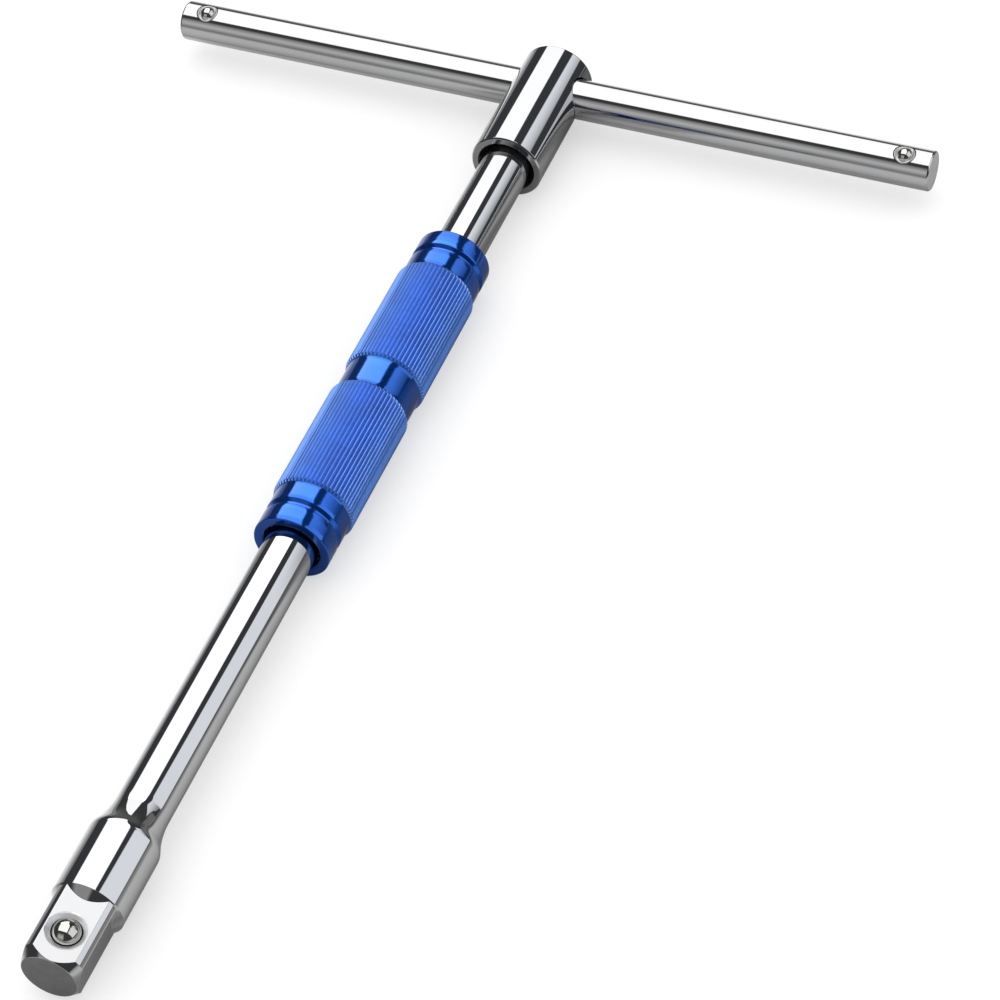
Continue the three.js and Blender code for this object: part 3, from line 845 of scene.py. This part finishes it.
def make_head():
    lower = corner([(6.1, 262.0), (6.1, H0 + 1.62, 0.10), (7.35, H0, 0.10), (8.72, H0, 0.10),
                    (HEAD_R, H0 + 0.40, 0.12), (HEAD_R, H0 + 4.0)], 5)
    rows = [(0.0, 272.3), (3.0, 272.3)] + corner([(4.0, 272.3), (6.1, 272.3, 0.3), (6.1, 268.0)], 3)
    rows += lower
    rows += [(HEAD_R, y) for y in np.arange(258.0, 273.5, 1.5)]
    rows += [(HEAD_R, y) for y in np.arange(273.8, 287.5, 0.5)]
    rows += corner([(HEAD_R, 287.5), (HEAD_R, H1 - 0.62, 0.35), (8.51, H1, 0.25), (6.0, H1)], 5)
    rows += [(3.0, H1), (0.0, H1)]
    o = turned("head_turned", rows, 192)
    pin = turned("tool2", [(0.0, -12.0), (1.6, -12.0), (1.6, 0.0), (0.0, 0.0)], 48, place=stand((0, 262.0, 0), (0, 0, 1)))
    cut(o, saddle_cutter(), pin)
    clean(o, dist=2e-4)
    o.data.materials.append(chrome)
    o.data.materials.append(face_steel)
    o.data.materials.append(bore_shade_steel)
    weighted(o, 32, [((0, 0, 0), (0, 1, 0), HEAD_R), ((0, CROSS_Y, 0), (1, 0, 0), 5.2), ((0, 0, 0), (0, 1, 0), 6.1)])
    # painted shade: the head's bore and inner faces take the near-black metal
    paint_faces(o, 2, lambda c, nrm: math.hypot(c[0], c[2]) < 7.3 and c[1] < 273.0)
    return finish_piece(o, "shank_assembly", "head", "chrome_plate")


head = make_head()

pin_rows = [(0.0, 0.10), (0.8, 0.08)] + corner([(1.0, 0.06), (1.5, 0.0, 0.25), (1.5, 2.0)], 4)
pin_rows += corner([(1.5, 6.0), (1.5, 9.4, 0.15), (1.2, 9.75, 0.1), (0.4, 9.75)], 3) + [(0.0, 9.75)]
pin_lo, pin_hi = mm_box("head_pin")
o = turned("head_pin_ground", pin_rows, 64, place=stand((0, 262.0, pin_lo[2]), (0, 0, 1)))
weighted(o, 40)
finish_piece(o, "shank_assembly", "head_pin", "spring_steel", pin_steel)

prof = corner([(5.12, 0.0), (5.12, -0.45, 0.1), (5.42, -1.1, 0.15), (5.98, -1.1, 0.15), (6.28, -0.8, 0.15), (6.28, 0.8, 0.15),
               (5.98, 1.1, 0.15), (5.42, 1.1, 0.15), (5.12, 0.45, 0.1), (5.12, 0.0)], 3)[:-1]
o = turned("bar_friction_ring_moulded", prof, 96, place=along_x(CROSS_Y), closed=True)
weighted(o, 50)
finish_piece(o, "friction_ring", "bar_friction_ring", "black_rubber", rubber)


# ---------------------------------------------------------------- cross bar and its ball plungers

BALL_XS = (("left", -92.5), ("right", 92.5))


def make_bar():
    def end(sign, x):
        return [(BAR_R, x - sign * 0.8), (BAR_R - 0.75, x)]
    xs = sorted(set([BAR_X0 + 1.2] + list(np.arange(-96.5, -88.4, 0.5)) + list(np.arange(-80, 81, 20.0)) +
                    list(np.arange(88.5, 96.6, 0.5)) + [BAR_X1 - 1.2]))
    rows = [(0.0, BAR_X0), (2.2, BAR_X0)] + corner([(3.2, BAR_X0), (BAR_R - 0.28, BAR_X0, 0.55), (BAR_R, BAR_X0 + 0.45, 0.65), (BAR_R, BAR_X0 + 1.2)], 6)
    rows += [(BAR_R, x) for x in xs]
    rows += corner([(BAR_R, BAR_X1 - 1.2), (BAR_R, BAR_X1 - 0.45, 0.65), (BAR_R - 0.28, BAR_X1, 0.55), (3.2, BAR_X1)], 6)
    rows += [(2.2, BAR_X1), (0.0, BAR_X1)]
    o = turned("crossbar_turned", rows, 144, place=along_x(CROSS_Y))
    tools = []
    for _, x in BALL_XS:
        tools.append(turned("tool", [(0.0, -1.45), (2.80, -1.45), (2.80, 9.0), (0.0, 9.0)], 96,
                            place=stand((x, CROSS_Y, 0), BAR_BALL_DIR, side=(1, 0, 0))))
    cut(o, *tools)
    clean(o, dist=2e-4)
    o.data.materials.append(chrome)
    o.data.materials.append(end_steel)
    o.data.materials.append(bore_shade_steel)
    weighted(o, 32, [((0, CROSS_Y, 0), (1, 0, 0), BAR_R)])
    paint_faces(o, 1, lambda c, nrm: abs(nrm[0]) > 0.98)
    # painted shade: the plunger holes' walls take the near-black metal
    paint_faces(o, 2, lambda c, nrm: 89.0 < abs(c[0]) < 96.0 and math.hypot(c[1] - CROSS_Y, c[2]) < BAR_R - 0.12)
    return finish_piece(o, "crossbar_assembly", "crossbar", "chrome_plate")


bar = make_bar()


def make_cup(side, x):
    """Pressed-in cup whose top follows the bar's round surface and is dished down to the ball."""
    place = stand((x, CROSS_Y, 0), BAR_BALL_DIR, side=(1, 0, 0))
    n = 96
    w = unit(BAR_BALL_DIR)
    u = unit(np.cross([1.0, 0, 0], w))
    verts, rows = [], None
    for i in range(n):
        a = 2 * math.pi * i / n
        # offset across the bar of a point at (sin a, cos a) in the tool's frame
        dirv = math.sin(a) * u + math.cos(a) * np.cross(w, u)
        across = np.linalg.norm(dirv - dirv[0] * np.array([1.0, 0, 0]))

        def top(r):
            return math.sqrt((BAR_R - 0.02) ** 2 - (r * across) ** 2)
        prof = [(1.2, -1.3), (2.6, -1.3), (2.7, -1.2), (2.7, 1.0), (2.7, top(2.7) - 0.45), (2.63, top(2.63) - 0.16), (2.58, top(2.58) - 0.05), (2.50, top(2.50) - 0.01), (2.40, top(2.40) - 0.01)]
        lip = 4.58
        for f in (0.2, 0.5, 0.8, 1.0):
            r = 2.40 + (1.90 - 2.40) * f
            prof.append((r, (top(2.40) - 0.01) * (1 - f) + (lip + 0.02) * f - 0.04 * math.sin(math.pi * f)))
        prof += [(1.90, 4.50), (2.1, 4.2), (2.1, 0.5), (2.1, -0.7), (2.0, -0.8), (1.2, -0.8)]
        rows = len(prof)
        verts += [(r * math.sin(a), y, r * math.cos(a)) for r, y in prof]
    faces = []
    for i in range(n):
        j = (i + 1) % n
        for k in range(rows - 1):
            faces.append([i * rows + k, i * rows + k + 1, j * rows + k + 1, j * rows + k])
    low = len(verts)
    verts.append((0, -1.3, 0))
    high = len(verts)
    verts.append((0, -0.8, 0))
    for i in range(n):
        j = (i + 1) % n
        faces.append([low, i * rows, j * rows])
        faces.append([high, j * rows + rows - 1, i * rows + rows - 1])
    o = clean(new_object(f"{side}_plunger_cup", place(np.array(verts)), faces))
    weighted(o, 38)
    return finish_piece(o, "crossbar_assembly", f"{side}_plunger_body", "plunger_steel", cup_steel)


for side, x in BALL_XS:
    make_cup(side, x)
    base = np.array([x, CROSS_Y, 0.0])
    ball(f"{side}_ball_ground", base + BAR_BALL_DIR * 3.95, BAR_BALL_DIR, 2.0, f"{side}_ball", f"{side}_ball")
    coil(f"{side}_ball_coil", base, BAR_BALL_DIR, 1.4, 0.22, -0.72, 2.15, 4, "crossbar_assembly", f"{side}_ball_spring")


# ---------------------------------------------------------------- floor, light and camera

FLOOR_Z = -9.78 * MM


def studio_pattern(k, d):
    """Masks of the studio's light boxes for mirrors, from a direction's x, y, z: one overhead, one on the right, one low in front."""
    x, y, z = d
    zp = k.math("MAXIMUM", z, 0.02)
    v = k.div(y, zp)
    phi = k.mul(k.math("ARCTAN2", z, x), 57.29578)
    above = k.ramp(z, 0.03, 0.08)
    box_r = k.table(y, [(-0.6, 66), (0.44, 71), (0.52, 72.5), (0.57, 74.5), (0.62, 77), (0.66, 81), (0.69, 84.5),
                        (0.75, 88), (0.82, 93), (0.89, 101), (0.95, 113)])
    box_l = k.table(y, [(-0.6, 139), (0.44, 140), (0.50, 145), (0.56, 151), (0.62, 149), (0.66, 145.5), (0.70, 144),
                        (0.76, 141), (0.83, 135), (0.90, 124), (0.95, 113)])
    over = k.mul(k.mul(k.band(phi, box_r, box_l, 1.1), k.band(v, -0.41, 2.6, 0.05)), above)
    card_hi = k.table(y, [(-0.5, 58), (0.47, 61), (0.50, 57), (0.53, 53.5), (0.56, 51.5), (0.585, 52), (0.62, 55.5),
                          (0.66, 59), (0.69, 57.5), (0.72, 53), (0.78, 44), (0.84, 36), (0.90, 30)])
    card_lo = k.table(y, [(-0.5, 8), (0.30, 6), (0.44, -3), (0.575, -3), (0.60, 9), (0.64, 13), (0.66, 15), (0.68, 21),
                          (0.70, 26), (0.76, 33), (0.82, 36), (0.90, 37)])
    right = k.mul(k.band(phi, card_lo, card_hi, 1.4), k.ramp(y, -0.42, -0.32))
    theta = k.mul(k.math("ARCTAN2", z, k.mul(y, -1.0)), 57.29578)
    front = k.table(theta, [(-6, 0.50), (-2, 0.27), (3, 0.27), (7, 0.32), (13, 0.45), (19, 0.57), (25, 0.63), (31, 0.57), (37, 0.44),
                            (43, 0.34), (48, 0.18), (53, 0.055), (90, 0.055), (150, 0.06), (160, 0.10), (172, 0.15), (178, 0.2)])
    front_on = k.mul(k.ramp(x, -0.74, -0.52), k.ramp(x, -0.02, 0.16, 1.0, 0.0))
    return over, right, front, front_on


def make_world():
    w = bpy.data.worlds.new("studio")
    scene.world = w
    w.use_nodes = True
    t = w.node_tree
    t.nodes.clear()
    k = Nodes(t)
    geo = k.new("ShaderNodeTexCoord")
    sep = k.new("ShaderNodeSeparateXYZ")
    k.put(sep.inputs[0], geo.outputs["Generated"])
    d = (sep.outputs[0], sep.outputs[1], sep.outputs[2])
    over, right, front, front_on = studio_pattern(k, d)
    fr = k.new("ShaderNodeCombineXYZ")
    for i in range(3):
        k.put(fr.inputs[i], front)
    col = (0.052, 0.055, 0.061, 1.0)
    col = k.mix(k.mul(front_on, k.ramp(d[1], 0.3, 0.1)), col, fr.outputs[0])
    col = k.mix(k.mul(k.ramp(d[1], 0.72, 0.85), k.ramp(d[0], 0.3, 0.0)), col, fr.outputs[0])
    fade = k.table(k.mul(k.math("ARCTAN2", d[2], d[0]), 57.29578), [(-5, 0.24), (8, 0.27), (20, 0.42), (32, 0.70), (44, 0.90), (52, 1.0)])
    fade = k.sub(1.0, k.mul(k.ramp(d[1], 0.566, 0.594), k.sub(1.0, fade)))
    card = k.new("ShaderNodeCombineXYZ")
    for i, c in enumerate((1.06, 1.09, 1.15)):
        k.put(card.inputs[i], k.mul(fade, c))
    low = k.mul(k.mul(k.ramp(d[1], 0.71, 0.75), k.ramp(d[1], 0.93, 0.98, 1.0, 0.0)),
                k.band(k.mul(k.math("ARCTAN2", d[2], d[0]), 57.29578), -12.0, 30.0, 4.0))
    col = k.mix(low, col, (0.20, 0.205, 0.21, 1.0))
    col = k.mix(right, col, card.outputs[0])
    glow = k.table(d[1], [(-1.0, 1.7), (0.56, 1.7), (0.60, 2.7), (0.64, 2.7), (0.665, 1.62), (1.0, 1.62)])
    gl = k.new("ShaderNodeCombineXYZ")
    for i in range(3):
        k.put(gl.inputs[i], glow)
    col = k.mix(over, col, gl.outputs[0])
    mirror = k.new("ShaderNodeBackground")
    k.put(mirror.inputs["Color"], col)
    soft = k.new("ShaderNodeBackground")
    k.put(soft.inputs["Color"], k.mix(k.ramp(d[2], -0.2, 1.0, smooth=False), grey(0.80), grey(1.45)))
    seen = k.new("ShaderNodeBackground")
    k.put(seen.inputs["Color"], grey(1.0))
    path = k.new("ShaderNodeLightPath")
    a = k.new("ShaderNodeMixShader")
    k.put(a.inputs[0], path.outputs["Is Glossy Ray"])
    k.put(a.inputs[1], soft.outputs[0])
    k.put(a.inputs[2], mirror.outputs[0])
    b = k.new("ShaderNodeMixShader")
    k.put(b.inputs[0], path.outputs["Is Camera Ray"])
    k.put(b.inputs[1], a.outputs[0])
    k.put(b.inputs[2], seen.outputs[0])
    out = k.new("ShaderNodeOutputWorld")
    k.put(out.inputs[0], b.outputs[0])


def make_floor():
    s = 9.0
    n = 24
    verts, faces = [], []
    for i in range(n + 1):
        for j in range(n + 1):
            verts.append(((i / n * 2 - 1) * s, (j / n * 2 - 1) * s, FLOOR_Z))
    for i in range(n):
        for j in range(n):
            a = i * (n + 1) + j
            faces.append([a, a + n + 1, a + n + 2, a + 1])
    o = new_object("floor", verts, faces, smooth=False, scale=1.0)
    m, k, b, pos = material("floor_pale")
    path = k.new("ShaderNodeLightPath")
    geo = k.new("ShaderNodeNewGeometry")
    inc = k.new("ShaderNodeSeparateXYZ")
    k.put(inc.inputs[0], geo.outputs["Incoming"])
    rx, ry, rz = (k.mul(inc.outputs[i], -1.0) for i in range(3))
    flat = k.math("SQRT", k.add(k.add(k.mul(rx, rx), k.mul(rz, rz)), 1e-6))
    # painted shade and reflection: for mirror rays the floor takes a brightness set by the ray's direction, darker for
    # rays falling straight beneath the tool
    side = k.table(k.div(rx, flat), [(-1.0, 0.24), (-0.99, 0.26), (-0.956, 0.50), (-0.87, 0.66), (-0.72, 0.86), (-0.55, 0.86), (-0.35, 0.55),
                                     (-0.20, 0.38), (0.0, 0.29), (0.2, 0.29), (0.39, 0.36), (0.57, 0.41), (0.74, 0.46), (0.92, 0.50),
                                     (0.96, 0.46), (0.982, 0.26), (0.994, 0.20), (1.0, 0.30)])
    down = k.mul(k.math("ARCTAN2", rz, k.mul(ry, -1.0)), 57.29578)
    front = k.table(down, [(-90, 0.30), (-70, 0.34), (-50, 0.44), (-35, 0.49), (-20, 0.50), (-9, 0.46), (-4, 0.26), (0, 0.25)])
    at = k.new("ShaderNodeSeparateXYZ")
    k.put(at.inputs[0], pos)
    px, py = k.mul(at.outputs[0], 1000.0), k.mul(at.outputs[1], 1000.0)
    # painted shade: mirror rays see the floor darker close to the drive and rod, beside the grip on both sides, and on
    # the right beside the head and beyond it
    near = k.mul(k.band(px, -25.0, 32.0, 6.0), k.band(py, -90.0, 262.0, 8.0))
    front = k.mul(front, k.sub(1.0, k.mul(near, 0.44)))
    front = k.mul(front, k.ramp(rx, -0.84, -0.62, 0.15, 1.0))
    to_right = k.ramp(rx, -0.05, 0.15)
    right_of = k.mul(to_right, k.add(k.band(px, 9.0, 85.0, 6.0), k.mul(k.band(px, 97.0, 500.0, 6.0), k.ramp(rz, -0.45, -0.30))))
    left_of = k.band(px, -300.0, -9.0, 6.0)
    grip_shade_band = k.band(py, 128.0, 254.0, 10.0)
    side = k.mul(side, k.sub(1.0, k.mul(k.mul(right_of, grip_shade_band), 0.62)))
    side = k.mul(side, k.sub(1.0, k.mul(k.mul(left_of, grip_shade_band), 0.32)))
    side = k.mul(side, k.sub(1.0, k.mul(k.mul(right_of, k.ramp(py, 246.0, 264.0)), 0.30)))
    side = k.mul(side, k.sub(1.0, k.mul(k.mul(right_of, k.ramp(py, 278.0, 294.0)), 0.62)))
    mirror = k.add(k.mul(side, k.ramp(ry, -0.35, -0.05)), k.mul(front, k.ramp(ry, -0.35, -0.05, 1.0, 0.0)))
    level = k.new("ShaderNodeCombineXYZ")
    for i in range(3):
        k.put(level.inputs[i], mirror)
    # an opal table lit from beneath as well, so that what stands on it throws only a faint shadow
    plain = k.mix(k.noise(pos, 30.0, 3.0), grey(0.44), grey(0.455))
    k.put(b.inputs["Emission Color"], grey(1.0))
    k.put(b.inputs["Emission Strength"], k.mul(k.sub(1.0, path.outputs["Is Glossy Ray"]), 0.50))
    k.put(b.inputs["Base Color"], k.mix(path.outputs["Is Glossy Ray"], plain, level.outputs[0]))
    k.put(b.inputs["Roughness"], 0.9)
    k.put(b.inputs["Specular IOR Level"], 0.0)
    o.data.materials.append(m)
    return o


make_world()
make_floor()

lamp = bpy.data.lights.new("key", "AREA")
lamp.shape, lamp.size, lamp.size_y, lamp.energy = "RECTANGLE", 0.9, 0.9, 1.2
key = bpy.data.objects.new("key", lamp)
key.location = (-0.35, 0.25, 1.0)
key.rotation_euler = Vector((-0.35, 0.12, 1.0)).to_track_quat("Z", "Y").to_euler()
key.visible_glossy = False
key.visible_camera = False
scene.collection.objects.link(key)

cam_data = bpy.data.cameras.new("camera")
cam_data.sensor_width = 36.0
cam_data.lens = 127.854
cam_data.clip_start, cam_data.clip_end = 0.01, 50.0
cam = bpy.data.objects.new("camera", cam_data)
scene.collection.objects.link(cam)
cx = Vector((0.92847119, 0.36458141, -0.07086))
cy = Vector((-0.22383621, 0.70154182, 0.67656))
cx.normalize()
cz = cx.cross(cy).normalized()
cy = cz.cross(cx).normalized()
cam.matrix_world = Matrix(((cx.x, cy.x, cz.x, 0.27344), (cx.y, cy.y, cz.y, -0.33567), (cx.z, cy.z, cz.z, 0.57982), (0, 0, 0, 1)))
scene.camera = cam
scene.view_settings.view_transform = "Standard"
scene.view_settings.look = "None"
